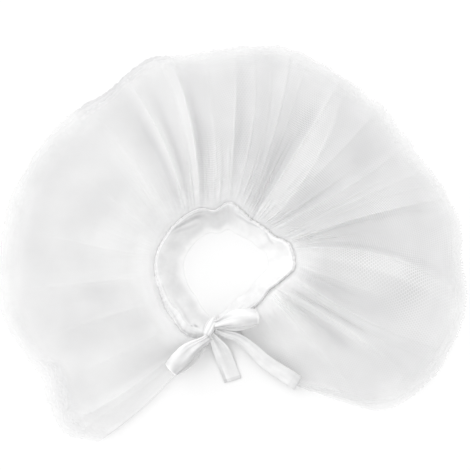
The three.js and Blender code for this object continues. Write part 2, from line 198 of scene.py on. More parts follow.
def wallObject(name, front, back, uv, values):
    # a closed wall between two grids, joined round its four edges
    rows, columns = front.shape[:2]
    count = rows * columns
    edges = []
    i = np.arange(rows - 1)
    j = np.arange(columns - 1)

    def rim(a, b):
        edges.append(np.stack([a, a + count, b + count, b], axis=1))

    rim(i * columns, (i + 1) * columns)
    rim((i + 1) * columns + columns - 1, i * columns + columns - 1)
    rim(j + 1, j)
    rim((rows - 1) * columns + j, (rows - 1) * columns + j + 1)
    faces = np.concatenate([
        gridFaces(rows, columns),
        gridFaces(rows, columns, count, turned=True),
        *edges,
    ])
    points = np.concatenate([front.reshape(-1, 3), back.reshape(-1, 3)])
    flatUv = np.concatenate([uv.reshape(-1, 2)] * 2)
    bothSides = {key: np.concatenate([value.reshape(-1)] * 2) for key, value in values.items()}
    return meshObject(name, points, faces, flatUv, bothSides)


def unit(vectors):
    return vectors / np.maximum(np.linalg.norm(vectors, axis=-1, keepdims=True), 1e-9)


def gridNormals(points):
    down = np.gradient(points, axis=0)
    along = np.gradient(points, axis=1)
    return unit(np.cross(down, along))


def addNode(tree, kind, inputs=None, **settings):
    node = tree.nodes.new(kind)
    for key, value in settings.items():
        setattr(node, key, value)
    for key, value in (inputs or {}).items():
        if isinstance(value, bpy.types.NodeSocket):
            tree.links.new(value, node.inputs[key])
        else:
            node.inputs[key].default_value = value
    return node


def mathNode(tree, operation, a, b=0.0):
    return addNode(tree, "ShaderNodeMath", {0: a, 1: b}, operation=operation).outputs[0]


def vectorNode(tree, operation, a, b=None):
    inputs = {0: a} if b is None else {0: a, 1: b}
    node = addNode(tree, "ShaderNodeVectorMath", inputs, operation=operation)
    return node.outputs["Value" if operation == "DOT_PRODUCT" else "Vector"]


def rangeNode(tree, value, low, high, toLow, toHigh):
    inputs = {"Value": value, "From Min": low, "From Max": high, "To Min": toLow, "To Max": toHigh}
    kind = addNode(tree, "ShaderNodeMapRange", inputs, interpolation_type="SMOOTHSTEP")
    return kind.outputs["Result"]


def attributeNode(tree, name):
    return addNode(tree, "ShaderNodeAttribute", attribute_name=name).outputs["Fac"]


def emptyMaterial(name):
    material = bpy.data.materials.new(name)
    material.use_nodes = True
    material.node_tree.nodes.clear()
    return material, material.node_tree


def netMask(tree, net):
    # how near each point is to a thread of the net's six-sided cells: 1 on it, 0 clear of it
    cell = (1.0, math.sqrt(3), 1.0)
    half = (0.5, math.sqrt(3) / 2, 0.5)
    far = 4000.0  # whole cells, which keep every place above zero
    uv = addNode(tree, "ShaderNodeUVMap", uv_map="UVMap").outputs["UV"]
    angle = math.radians(net["turn"])
    turned = addNode(tree, "ShaderNodeVectorRotate", {"Vector": uv, "Angle": angle},
                     rotation_type="Z_AXIS").outputs["Vector"]
    perMetre = 1 / (net["pitch"] * millimetre)
    place = vectorNode(tree, "MULTIPLY", turned, (perMetre, perMetre, 0))
    place = vectorNode(tree, "ADD", place, (far, far * math.sqrt(3), 0))
    first = vectorNode(tree, "SUBTRACT", vectorNode(tree, "MODULO", place, cell), half)
    shifted = vectorNode(tree, "SUBTRACT", place, half)
    second = vectorNode(tree, "SUBTRACT", vectorNode(tree, "MODULO", shifted, cell), half)
    flat = (1.0, 1.0, 0.0)
    first = vectorNode(tree, "MULTIPLY", first, flat)
    second = vectorNode(tree, "MULTIPLY", second, flat)
    nearer = mathNode(tree, "LESS_THAN", vectorNode(tree, "DOT_PRODUCT", first, first),
                      vectorNode(tree, "DOT_PRODUCT", second, second))
    chosen = addNode(tree, "ShaderNodeMix", {"Factor": nearer, "A": second, "B": first},
                     data_type="VECTOR")
    chosen = next(out for out in chosen.outputs if out.enabled and out.type == "VECTOR")
    spread = vectorNode(tree, "ABSOLUTE", chosen)
    across = addNode(tree, "ShaderNodeSeparateXYZ", {0: spread}).outputs["X"]
    slanted = vectorNode(tree, "DOT_PRODUCT", spread, (0.5, math.sqrt(3) / 2, 0.0))
    inward = mathNode(tree, "SUBTRACT", 0.5, mathNode(tree, "MAXIMUM", across, slanted))
    return rangeNode(tree, inward, net["thread"] * 0.5, net["thread"] * 1.5, 1.0, 0.0)


def tulleMaterial(name, net):
    material, tree = emptyMaterial(name)
    mask = netMask(tree, net)
    shown = attributeNode(tree, "netShown")
    # the tone attribute is painted light and shade, mixed between the shade and light colours below
    tone = attributeNode(tree, "tone")
    # where the net is packed tight or lies soft, its threads and holes run together
    blend = addNode(tree, "ShaderNodeMix", {"Factor": shown, "A": net["average"], "B": mask})
    cover = addNode(tree, "ShaderNodeMapRange", {
        "Value": blend.outputs["Result"], "To Min": net["holeCover"], "To Max": net["threadCover"],
    })
    packed = mathNode(tree, "MULTIPLY", attributeNode(tree, "packed"), net["packedCover"])
    alpha = addNode(tree, "ShaderNodeMath", {0: cover.outputs["Result"], 1: packed},
                    operation="ADD", use_clamp=True)

    place = addNode(tree, "ShaderNodeTexCoord").outputs["Object"]
    cloud = addNode(tree, "ShaderNodeTexNoise", {
        "Vector": place, "Scale": net["cloudScale"], "Detail": net["cloudDetail"],
    })
    cloud = rangeNode(tree, cloud.outputs["Fac"], 0.3, 0.7, -net["cloud"], net["cloud"])
    light = addNode(tree, "ShaderNodeMath", {0: tone, 1: cloud}, operation="ADD", use_clamp=True)
    tint = addNode(tree, "ShaderNodeMix", {"Factor": light.outputs[0]}, data_type="RGBA")
    tint.inputs[6].default_value = (*net["shade"], 1)
    tint.inputs[7].default_value = (*net["light"], 1)
    colour = tint.outputs[2]
    height = mathNode(tree, "MULTIPLY", mask, shown)
    bump = addNode(tree, "ShaderNodeBump", {"Strength": 0.3, "Distance": 0.0002, "Height": height})
    surface = addNode(tree, "ShaderNodeBsdfPrincipled", {
        "Base Color": colour, "Roughness": 0.8, "Specular IOR Level": 0.2,
        "Sheen Weight": 0.2, "Normal": bump.outputs[0],
    })
    through = addNode(tree, "ShaderNodeBsdfTranslucent", {"Color": colour})
    cloth = addNode(tree, "ShaderNodeMixShader",
                    {0: net["glow"], 1: surface.outputs[0], 2: through.outputs[0]})
    clear = addNode(tree, "ShaderNodeBsdfTransparent")
    whole = addNode(tree, "ShaderNodeMixShader",
                    {0: alpha.outputs[0], 1: clear.outputs[0], 2: cloth.outputs[0]})
    addNode(tree, "ShaderNodeOutputMaterial", {"Surface": whole.outputs[0]})
    return material


def satinMaterial(name, finish):
    material, tree = emptyMaterial(name)
    uv = addNode(tree, "ShaderNodeUVMap", uv_map="UVMap").outputs["UV"]
    place = addNode(tree, "ShaderNodeTexCoord").outputs["Object"]
    perMetre = 1 / (finish["yarn"] * millimetre)
    yarns = vectorNode(tree, "MULTIPLY", uv, (perMetre, perMetre, 0))
    weave = addNode(tree, "ShaderNodeTexWave",
                    {"Vector": yarns, "Scale": 0.31, "Distortion": 0.6, "Detail": 1.0})
    slub = addNode(tree, "ShaderNodeTexNoise", {"Vector": place, "Scale": 260.0, "Detail": 4.0})
    crush = addNode(tree, "ShaderNodeTexNoise", {"Vector": place, "Scale": 90.0, "Detail": 2.0})
    soft = rangeNode(tree, crush.outputs["Fac"], 0.3, 0.7, -0.1, 0.1)
    # the tone attribute is painted light and shade, mixed between the shade and light colours
    light = addNode(tree, "ShaderNodeMath", {0: attributeNode(tree, "tone"), 1: soft},
                    operation="ADD", use_clamp=True)
    tint = addNode(tree, "ShaderNodeMix", {"Factor": light.outputs[0]}, data_type="RGBA")
    tint.inputs[6].default_value = (*finish["shade"], 1)
    tint.inputs[7].default_value = (*finish["light"], 1)
    fine = addNode(tree, "ShaderNodeBump",
                   {"Strength": 0.12, "Distance": 0.0001, "Height": weave.outputs["Fac"]})
    rough = addNode(tree, "ShaderNodeBump", {
        "Strength": 0.2, "Distance": 0.0004, "Height": crush.outputs["Fac"],
        "Normal": fine.outputs[0],
    })
    gloss = rangeNode(tree, slub.outputs["Fac"], 0.3, 0.7, finish["smooth"], finish["dull"])
    surface = addNode(tree, "ShaderNodeBsdfPrincipled", {
        "Base Color": tint.outputs[2], "Roughness": gloss, "Specular IOR Level": 0.55,
        "Sheen Weight": 0.25, "Sheen Roughness": 0.4, "Normal": rough.outputs[0],
    })
    through = addNode(tree, "ShaderNodeBsdfTranslucent", {"Color": tint.outputs[2]})
    cloth = addNode(tree, "ShaderNodeMixShader",
                    {0: finish["glow"], 1: surface.outputs[0], 2: through.outputs[0]})
    addNode(tree, "ShaderNodeOutputMaterial", {"Surface": cloth.outputs[0]})
    return material


tulleNet = {
    "pitch": 2.2,  # across one six-sided hole
    "thread": 0.1,  # half of a thread's width, as a share of the pitch
    "average": 0.5,  # how much the net covers where single threads can't be told apart
    "holeCover": 0.22,
    "threadCover": 0.86,
    "packedCover": 0.46,
    "cloud": 0.18,
    "cloudScale": 24.0,
    "cloudDetail": 5.0,
    "glow": 0.42,
    "shade": (0.82, 0.82, 0.825),
    "light": (0.985, 0.985, 0.985),
}
satinFinish = {
    "yarn": 0.3,
    "smooth": 0.28,
    "dull": 0.45,
    "glow": 0.12,
    "shade": (0.6, 0.6, 0.605),
    "light": (0.99, 0.99, 0.99),
}
satin = satinMaterial("whiteSatin", satinFinish)

view = {
    "lens": 85,
    "sensor": 36,
    "width": 404.2,  # what the picture takes in, at the height of the cloth
    "middle": (8.6, 28.4),
    "level": 8,
}


def addCamera():
    data = bpy.data.cameras.new("camera")
    data.lens = view["lens"]
    data.sensor_width = view["sensor"]
    camera = bpy.data.objects.new("camera", data)
    distance = view["width"] * view["lens"] / view["sensor"]
    x, y = view["middle"]
    camera.location = placed((x, y, distance + view["level"]))
    bpy.context.collection.objects.link(camera)
    bpy.context.scene.camera = camera


studio = {
    "room": 1.0,
    "key": 1.05,
    "keyAngle": 70,
    "keyFrom": (-0.62, 0.55, 0.62),
    "floorSize": 3.0,
    "floorLevel": -0.0001,  # metres, just clear of the lowest cloth
    "floorColour": (0.83, 0.83, 0.83),
    "floorGlow": 0.045,
}


def addStudio():
    world = bpy.data.worlds.new("studio")
    world.use_nodes = True
    world.node_tree.nodes["Background"].inputs["Color"].default_value = (1, 1, 1, 1)
    world.node_tree.nodes["Background"].inputs["Strength"].default_value = studio["room"]
    bpy.context.scene.world = world
    key = bpy.data.lights.new("keyLight", "SUN")
    key.energy = studio["key"]
    key.angle = math.radians(studio["keyAngle"])
    lamp = bpy.data.objects.new("keyLight", key)
    lamp.rotation_euler = Vector(studio["keyFrom"]).to_track_quat("Z", "Y").to_euler()
    bpy.context.collection.objects.link(lamp)

    side = studio["floorSize"] / 2
    mesh = bpy.data.meshes.new("floor")
    level = studio["floorLevel"]
    corners = [(x * side, y * side, level) for x, y in ((-1, -1), (1, -1), (1, 1), (-1, 1))]
    mesh.from_pydata(corners, [], [(0, 1, 2, 3)])
    floor = bpy.data.objects.new("floor", mesh)
    bpy.context.collection.objects.link(floor)
    material, tree = emptyMaterial("floorWhite")
    paint = addNode(tree, "ShaderNodeBsdfPrincipled", {
        "Base Color": (*studio["floorColour"], 1), "Roughness": 0.9, "Specular IOR Level": 0.1,
        "Emission Color": (1, 1, 1, 1), "Emission Strength": studio["floorGlow"],
    })
    addNode(tree, "ShaderNodeOutputMaterial", {"Surface": paint.outputs[0]})
    mesh.materials.append(material)


addCamera()
addStudio()
scene = bpy.context.scene
scene.view_settings.view_transform = "Standard"
scene.cycles.transparent_max_bounces = 32
print("camera, lights and floor are set")

skirt = {
    "from": -58,
    "to": 234,
    "tuck": 2,  # how far it reaches in under the band's turned edge
    "waistDrop": 7.7,
    "flatFromEdge": 0.3,
    "flatFromSkirt": 0.55,
    "edgeDegrees": 22,
    "waistGap": 1.7,
    "skirtGap": 2.8,
    "flatWidth": 985,
    "gathers": 92,
}
hem = {
    "fine": 0.45,
    "fineCount": 600,
    "slow": 0.8,
    "slowCount": 90,
    "flutter": 1.6,
    "flutterCount": 44,
    "raggedFrom": 27,  # the stretch that is cut into small teeth
    "raggedTo": 56,
    "toothPitch": 2.3,
    "toothDepth": 3.6,
}
# each layer's tone is its painted lightness: the two under layers are painted a shade darker than
# the top one
tulleLayers = [
    {"name": "tulleLower", "node": "tulle_lower", "lift": 0, "fold": 0.35, "settle": 0.9,
     "puff": 0, "short": 0, "gather": 1.2, "crease": 0.35, "creases": 60,
     "columns": 640, "rows": 48, "turn": 11, "seed": 3, "net": 0.1, "tone": 0.4,
     "calm": 0.6},
    {"name": "tulleMiddle", "node": "tulle_middle", "lift": 1, "fold": 0.65, "settle": 0,
     "puff": 0.5, "short": 0.5, "gather": 1.2, "crease": 0.5, "creases": 90,
     "columns": 720, "rows": 52, "turn": -7, "seed": 5, "net": 0.15, "tone": 0.4,
     "calm": 0.8},
    {"name": "tulleUpper", "node": "tulle_upper", "lift": 2, "fold": 1, "settle": 0,
     "puff": 3.0, "short": 1, "gather": 1.1, "crease": 1.0, "creases": 150,
     "columns": 1100, "rows": 80, "turn": 3, "seed": 8, "net": 0.25, "tone": 0.55,
     "calm": 0.9},
]
# where the threads of the net can be told apart best: the middle and the reach of each patch
netPatches = namedRows("hem t wide long", [
    (47, 0.42, 6, 0.16), (-3, 0.4, 6, 0.14), (-8, 0.72, 7, 0.1), (31, 0.3, 5, 0.16),
    (62, 0.66, 6, 0.12), (18, 0.6, 6, 0.1), (96, 0.3, 7, 0.2), (-30, 0.34, 5, 0.1),
])
# stretches of the skirt, in degrees along the hem, over which each thing comes on or dies out
stretches = {
    "crispEnd": (62, 112),
    "rightEnd": (45, 75),
    "cornerEnd": (-46, -30),
    "calm": (108, 150),
    "raised": (125, 150),
    "litLeft": (135, 165),
    "low": (-56, -46, -28, -14),
    "doubled": (103, 107, 130, 136),  # a hem that doubles back on itself
    "shaded": (59, 62, 66, 88),  # between two folds right of the top
}
# how much painted light falls on a fold's panel and crest, and painted shade in its valley and its
# pit at the waist; sharp alone shapes the height
foldShadeMarks = {
    "sharp": 0.12,  # the share of a fold's height that stands in its crest
    "panel": 0.3,
    "valley": 0.4,
    "crest": 0.3,
    "pit": 0.6,
    "fade": 0.85,  # the painted shade marks end at this share of the fold's reach
    "lowFade": 0.7,  # or here, below the hem angle in lowTo
    "lowTo": -10,
}
netLook = {
    "even": 0.36,  # how much of the net shows between the patches
    "uneven": 0.2,
    "patch": 0.9,
    "soft": 0.08,
    "crisp": 0.8,
    "panel": 0.35,
    "panelMiddle": 97,
    "panelWidth": 10,
    "most": 1.3,
}
# painted light and painted shade added to the tulle's tone, stretch by stretch
clothShading = {
    "left": 0.2,
    "low": 0.1,
    "litLeft": 0.45,
    "seam": 0.5,
    "shaded": 0.45,
    "hemRight": 0.2,
    "hemLeft": 0.15,
    "corner": 0.6,
    "doubled": 0.7,
}


def foldShapes(hemDeg, t):
    # the height of the folds, and the painted light and painted shade each leaves in the cloth's
    # tone
    shape = np.broadcast(hemDeg, t).shape
    height, tone = np.zeros(shape), np.zeros(shape)
    shadeMarks = foldShadeMarks
    for fold in foldRows:
        if not fold["height"]:
            continue
        peak, reach = fold["peak"], fold["reach"]
        fade = shadeMarks["lowFade"] if fold["hem"] < shadeMarks["lowTo"] else shadeMarks["fade"] * reach
        show = np.minimum(1, 1.4 * between(t, 0, 0.5 * peak, min(peak, 0.35), fade))
        off = hemDeg - fold["hem"]
        if fold["lean"]:
            wide = fold["start"] + (fold["end"] - fold["start"]) * t
            e = off * fold["lean"]
            across = np.where(e > 0, bell(e, 0, wide), bell(e, 0, 0.5 * fold["width"]))
            panel = between(e, -0.3, 0.25, 0.75 * wide, 1.1 * wide)
            valley = bell(e, -2.2, 1.8)
            crest = 1.4 * bell(e, 0, 0.4) + 0.6 * bell(e, 0.9 * wide, 0.4)
        else:
            d = off / fold["width"]
            across = bell(d, 0, 1)
            panel = bell(d, 0, 0.5)
            valley = bell(np.abs(d), 1.2, 0.5)
            crest = 1.3 * bell(d, 0, 0.16)
        whole = (1 - shadeMarks["sharp"]) * across + shadeMarks["sharp"] * crest
        height += fold["height"] * whole * between(t, 0, peak, peak, reach)
        # painted shade in the pit at each fold's root by the waist
        pit = bell(off * (fold["lean"] or 1), -1.6, 1.1) * bell(t, 0, 0.06)
        shown = shadeMarks["panel"] * panel - shadeMarks["valley"] * valley + shadeMarks["crest"] * crest
        tone += fold["mark"] * (show * shown - shadeMarks["pit"] * pit)
    return height, tone


def gathers(layer, hemDeg, t, random):
    # small gathers that spring from the seam and die out at uneven lengths
    count = skirt["gathers"]
    edges = np.concatenate([[0], np.cumsum(random.uniform(0.6, 1.4, count))])
    edges = skirt["from"] + (skirt["to"] - skirt["from"]) * edges / edges[-1]
    number = np.interp(hemDeg, edges, np.arange(count + 1))
    tall = random.uniform(0.3, 1.2, count + 1)
    reach = random.uniform(0.16, 0.5, count + 1)
    middles = np.arange(count + 1) + 0.5
    height = np.interp(number, middles, tall) * layer["gather"]
    end = np.interp(number, middles, reach)
    wave = 0.5 - 0.5 * np.cos(2 * np.pi * number)
    return height * wave * between(t, 0.0, 0.1, 0.1, end)


def creases(layer, hemDeg, t, random):
    # thin ridges of many lengths that run down from the gathers, each with painted light along its
    # top and painted shade beside it
    height = np.zeros(np.broadcast(hemDeg, t).shape)
    tone = np.zeros(height.shape)
    for _ in range(layer["creases"]):
        middle = random.uniform(skirt["from"] + 2, skirt["to"] - 2)
        start = random.uniform(0.0, 0.35) ** 1.4
        end = start + random.uniform(0.15, 0.75)
        width = random.uniform(0.3, 1.2)
        drift = random.uniform(-2.5, 2.5)
        size = random.uniform(0.25, 1.0)
        steep = random.uniform(0.3, 1.0)
        d = (hemDeg - middle - drift * t) / width
        across = np.where(d > 0, bell(d, 0, 1), bell(d, 0, steep))
        along = size * between(t, start - 0.02, start + 0.12, start + 0.15, end)
        height += along * across
        tone += along * (bell(d, 0, 0.5) - 0.7 * bell(d, -1, 0.7))
    return height * layer["crease"], tone * 0.1 * layer["crease"]


def alongHem(hemDeg, values):
    # values at even steps from one end of the skirt to the other
    return np.interp(hemDeg, np.linspace(skirt["from"] - 2, skirt["to"] + 2, len(values)), values)


def hemEdge(hemDeg, random):
    # how far the raw edge strays from the even cut
    fine = alongHem(hemDeg, random.normal(0, hem["fine"], hem["fineCount"]))
    slow = alongHem(hemDeg, random.normal(0, hem["slow"], hem["slowCount"]))
    first, last = hem["raggedFrom"], hem["raggedTo"]
    number = (hemDeg - first) / hem["toothPitch"] + 0.3 * np.sin(hemDeg * 1.7)
    size = np.interp(np.floor(number), np.arange(-4, 20), random.uniform(0.5, 1.3, 24))
    teeth = size * np.abs(number % 1 - 0.5) * 2 * between(hemDeg, first, first + 3, last - 3, last)
    return fine + slow - hem["toothDepth"] * teeth


def layerHeight(layer, hemDeg, t, inside):
    # the fall from the waist, and the room that each layer keeps above the last
    flatFrom = skirt["flatFromEdge"] + (skirt["flatFromSkirt"] - skirt["flatFromEdge"]) * inside
    fall = 1 - smoothStep(t, 0.02, flatFrom)
    gap = skirt["waistGap"] + (skirt["skirtGap"] - skirt["waistGap"]) * smoothStep(t, 0, 0.1)
    spring = (0.2 + 0.8 * inside) * between(t, 0.0, 0.045, 0.14, 0.45)
    raised = 1 + 0.8 * between(hemDeg, *stretches["low"])
    raised = raised + 0.5 * smoothStep(hemDeg, *stretches["raised"])
    return skirt["waistDrop"] * fall + layer["lift"] * gap + layer["puff"] * spring * raised


def layerLook(layer, hemDeg, t, shadeMarks):
    # the net reads thread by thread in patches on the right and runs soft on the left
    shading = clothShading
    crisp = 1 - smoothStep(hemDeg, *stretches["crispEnd"])
    panel = bell(hemDeg, netLook["panelMiddle"], netLook["panelWidth"])
    waves = np.sin(0.35 * hemDeg + 3 * t) * np.sin(8 * t + 0.13 * hemDeg + layer["turn"])
    patches = netLook["even"] + netLook["uneven"] * waves
    for patch in netPatches:
        here = bell(hemDeg, patch["hem"], patch["wide"]) * bell(t, patch["t"], patch["long"])
        patches = patches + netLook["patch"] * here
    net = netLook["soft"] + netLook["crisp"] * crisp + netLook["panel"] * panel

    hemward = smoothStep(t, 0.86, 1)
    right = 1 - smoothStep(hemDeg, *stretches["rightEnd"])
    corner = (1 - smoothStep(hemDeg, *stretches["cornerEnd"])) * (1 - smoothStep(t, 0.3, 0.7))
    doubledPlace = between(hemDeg, *stretches["doubled"])
    doubled = smoothStep(t, 0.975, 0.985) * doubledPlace
    under = 1 - 0.5 * layer["lift"]  # 1 in the lowest layer, 0 in the top one
    # the tone is painted light and shade: lighter on the left, by the seam, near the waist on the
    # lower right and on the left, at the right hem and in the corner by the bow; darker between two
    # folds right of the top, at the under layers' hem on the left, and where the hem doubles back
    shaded = between(hemDeg, *stretches["shaded"]) * between(t, 0.0, 0.1, 0.3, 0.75)
    seam = 1 - smoothStep(t, 0.02, 0.045)
    nearWaist = shading["low"] * between(hemDeg, *stretches["low"])
    nearWaist = nearWaist + shading["litLeft"] * smoothStep(hemDeg, *stretches["litLeft"]) - 0.02
    tone = layer["tone"] + shading["left"] * (1 - crisp) * (1 - 0.6 * panel) + shadeMarks
    tone = tone + (1 - smoothStep(t, 0, 0.3)) * nearWaist
    tone = tone - shading["shaded"] * shaded + shading["seam"] * seam
    tone = tone + hemward * (shading["hemRight"] * right - shading["hemLeft"] * (1 - right) * under)
    tone = tone + shading["corner"] * corner - shading["doubled"] * doubled
    packed = 1 - smoothStep(t, 0.0, 0.2) - 0.6 * smoothStep(t, 0.9, 1) * (1 - doubledPlace)
    return {
        "packed": packed + 0.6 * corner + 0.5 * doubled,
        "netShown": np.clip(net * patches, 0, netLook["most"]) * layer["net"] * (1 - 0.6 * corner),
        "tone": np.clip(tone, 0, 1),
    }


def tulleLayer(layer):
    random = np.random.default_rng(layer["seed"])
    hemDeg = np.linspace(skirt["from"], skirt["to"], layer["columns"])[None, :]
    t = (np.linspace(0, 1, layer["rows"]) ** 1.25)[:, None]  # 0 at the waist, 1 at the hem
    waistDeg = waistDegAt(hemDeg)
    startX, startY = polar(rimAt(waistDeg) + lipAt(waistDeg) - skirt["tuck"], waistDeg)
    endX, endY = polar(hemAt(hemDeg) - layer["short"] * shortAt(hemDeg), hemDeg)
    length = np.hypot(endX - startX, endY - startY)
    outX, outY = (endX - startX) / length, (endY - startY) / length
    bend = 4 * t * (1 - t) * bendAt(hemDeg)
    stray = hemEdge(hemDeg, random) * smoothStep(t, 0.93, 1)
    x = startX + (endX - startX) * t - outY * bend + outX * stray
    y = startY + (endY - startY) * t + outX * bend + outY * stray

    fromEdge = np.minimum(hemDeg - skirt["from"], skirt["to"] - hemDeg)
    inside = smoothStep(fromEdge, 0, skirt["edgeDegrees"])
    folds, foldTone = foldShapes(hemDeg, t)
    ridges, ridgeTone = creases(layer, hemDeg, t, random)
    small = gathers(layer, hemDeg, t, random) + ridges
    calm = 1 - layer["calm"] * smoothStep(hemDeg, *stretches["calm"])
    flutter = alongHem(hemDeg, random.uniform(0, hem["flutter"], hem["flutterCount"]))
    z = layerHeight(layer, hemDeg, t, inside)
    z = z + np.maximum(0, layer["fold"] * folds - layer["settle"])
    z = z + small * (0.35 + 0.65 * inside) * calm + 0.1
    z = z + flutter * smoothStep(t, 0.75, 1) * min(1, layer["lift"])

    points = np.stack(np.broadcast_arrays(x, y, z), axis=-1)
    flat = (hemDeg - skirt["from"]) / (skirt["to"] - skirt["from"]) * skirt["flatWidth"]
    uv = np.stack(np.broadcast_arrays(flat, t * length), axis=-1)
    look = layerLook(layer, hemDeg, t, foldTone + ridgeTone * calm)
    piece = sheetObject(layer["name"], points, uv, look)
    net = tulleMaterial(layer["name"] + "Net", {**tulleNet, "turn": layer["turn"]})
    piece.data.materials.append(net)
    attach(piece, "root")
    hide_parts(layer["node"])
    print(layer["name"], "has", len(piece.data.polygons), "faces")
    return piece


tullePieces = [tulleLayer(layer) for layer in tulleLayers]

band = {
    "height": 17,
    "footUp": 0.06,
    "rimDrop": 0.7,
    "turnDrop": 1.7,
    "lipDrop": 4.8,
    "footIn": 2.6,
    "lipShown": 0.75,  # the share of the turned edge that stays clear of the tulle
    "wall": 0.5,
    "clearance": 0.03,
    "columns": 520,
    "rows": 44,
    "puckers": 70,
    "puckerDepth": 0.16,
    "puckerSizes": 60,
    "waves": 7,
    "waveDepth": 0.7,
    "clothHeight": 27,
    "clothRadius": 52,
    "seed": 21,
}
# painted light and painted shade in the satin band's tone: darker at the foot and lighter up the
# wall, the far side painted darker, painted light at the very foot and on the near wall, darker by
# the bow, shade under the rim, over the turned edge, in the pits and below the folds
bandShading = {
    "foot": 0.62,
    "top": 0.86,
    "farMiddle": 108,
    "farWidth": 38,
    "farFoot": 0.06,
    "farTop": 0.46,
    "footEdge": 0.98,
    "underRim": 0.2,
    "near": 0.88,
    "nearBow": 0.2,
    "over": 0.05,
    "farOver": 0.1,
    "turnedEnd": 0.35,
    "pit": 1.2,
    "fold": 0.2,
}
# long soft folds in the satin: from one end to the other, at shares of the way up the wall
bandFolds = namedRows("fromDeg toDeg fromUp toUp bow height width", [
    (152, 108, 0.76, 0.50, -0.04, 1.5, 0.05),
    (150, 116, 0.70, 0.40, -0.10, 0.9, 0.05),
    (84, 44, 0.52, 0.70, -0.05, 1.3, 0.045),
    (80, 52, 0.66, 0.74, 0.00, 0.8, 0.03),
    (46, 24, 0.72, 0.40, 0.03, 1.1, 0.05),
    (14, -16, 0.70, 0.60, 0.04, 0.8, 0.05),
    (186, 226, 0.66, 0.70, 0.05, 1.0, 0.05),
    (205, 246, 0.52, 0.66, -0.03, 0.9, 0.05),
    (214, 250, 0.90, 0.96, 0.02, 0.9, 0.03),
    (-40, -90, 0.60, 0.74, 0.02, 1.2, 0.06),
    (-60, -96, 0.45, 0.66, 0.00, 1.0, 0.05),
])
# small pinched creases painted darker as shade: where each lies, how far up the wall, and its
# spread both ways
bandPits = namedRows("deg up wide tall", [
    (243.4, 0.52, 1.8, 0.035), (240, 0.6, 1, 0.03), (252.5, 0.37, 1, 0.05), (62, 0.86, 1.2, 0.05),
])


def smoothLine(points, count):
    # an even, smooth line through a few points; points has shape (n, ..., 2)
    n = len(points)
    at = np.linspace(0, n - 1, count)
    i = np.clip(np.floor(at).astype(int), 0, n - 2)
    s = (at - i).reshape((-1,) + (1,) * (points.ndim - 1))
    p0, p1 = points[np.maximum(i - 1, 0)], points[i]
    p2, p3 = points[i + 1], points[np.minimum(i + 2, n - 1)]
    return 0.5 * (2 * p1 + (p2 - p0) * s + (2 * p0 - 5 * p1 + 4 * p2 - p3) * s ** 2
                  + (3 * p1 - p0 - 3 * p2 + p3) * s ** 3)


def bandWall():
    # the satin thins out to a fine edge at its foot
    along = np.linspace(0, 1, band["rows"])[:, None]
    return band["wall"] * (0.25 + 0.75 * smoothStep(along, 0, 0.12))


def bandSurface(deg):
    # the plain band, in rows from the foot over the rim to the end of the turned edge
    rim = rimAt(deg)
    foot = footAt(deg) - band["footIn"] * smoothStep(deg, 40, 80)
    lip = lipAt(deg)
    lip = np.where(lip > 4, lip, lip * band["lipShown"] + (lip > 3) * (lip - 3) * 0.25)
    high, wide = band["height"], rim - foot
    flat = 0 * deg
    section = np.array([
        [foot, flat + band["footUp"]],
        [foot + 0.2 * wide, flat + 0.08 * high],
        [foot + 0.48 * wide, flat + 0.28 * high],
        [foot + 0.74 * wide, flat + 0.57 * high],
        [foot + 0.92 * wide, flat + 0.87 * high],
        [rim, flat + high - band["rimDrop"]],
        [rim + 0.45 * lip, flat + high - band["turnDrop"]],
        [rim + lip, flat + high - band["lipDrop"]],
    ]).transpose(0, 2, 1)
    line = smoothLine(section, band["rows"])
    x, y = polar(line[..., 0], deg[None, :])
    return np.stack([x, y, line[..., 1]], axis=-1)


def bandPuckers(deg, along, random):
    ends = deg[0], deg[-1]
    number = np.interp(deg, np.linspace(*ends, band["puckers"]),
                       np.cumsum(random.uniform(0.6, 1.4, band["puckers"])))[None, :]
    count = band["puckerSizes"]
    tall = np.interp(deg, np.linspace(*ends, count), random.uniform(0.2, 1.3, count))[None, :]
    lift = band["puckerDepth"] * tall * np.sin(2 * np.pi * number)
    lift = lift * (smoothStep(along, 0.2, 0.6) + 0.8 * smoothStep(along, 0.8, 1))
    wave = np.sin(np.radians(deg) * band["waves"] + 1)[None, :] * np.sin(along * np.pi) ** 2
    return lift + band["waveDepth"] * wave


def bandFoldShapes(around, along):
    lift, mark = np.zeros(around.shape), np.zeros(around.shape)
    for fold in bandFolds:
        u = (around - fold["fromDeg"]) / (fold["toDeg"] - fold["fromDeg"])
        ends = between(u, 0, 0.3, 0.7, 1)
        middle = fold["fromUp"] + (fold["toUp"] - fold["fromUp"]) * u
        middle = middle + 4 * u * (1 - u) * fold["bow"]
        off = (along - middle) / fold["width"]
        across = np.where(off > 0, bell(off, 0, 0.6), bell(off, 0, 1.5))
        lift = lift + fold["height"] * across * ends
        # painted light along each fold and painted shade just below it
        shown = ends * (bell(off, 0, 1) - 1.6 * bell(off, -1.5, 0.8))
        mark = mark + bandShading["fold"] * fold["height"] * shown
    return lift, mark


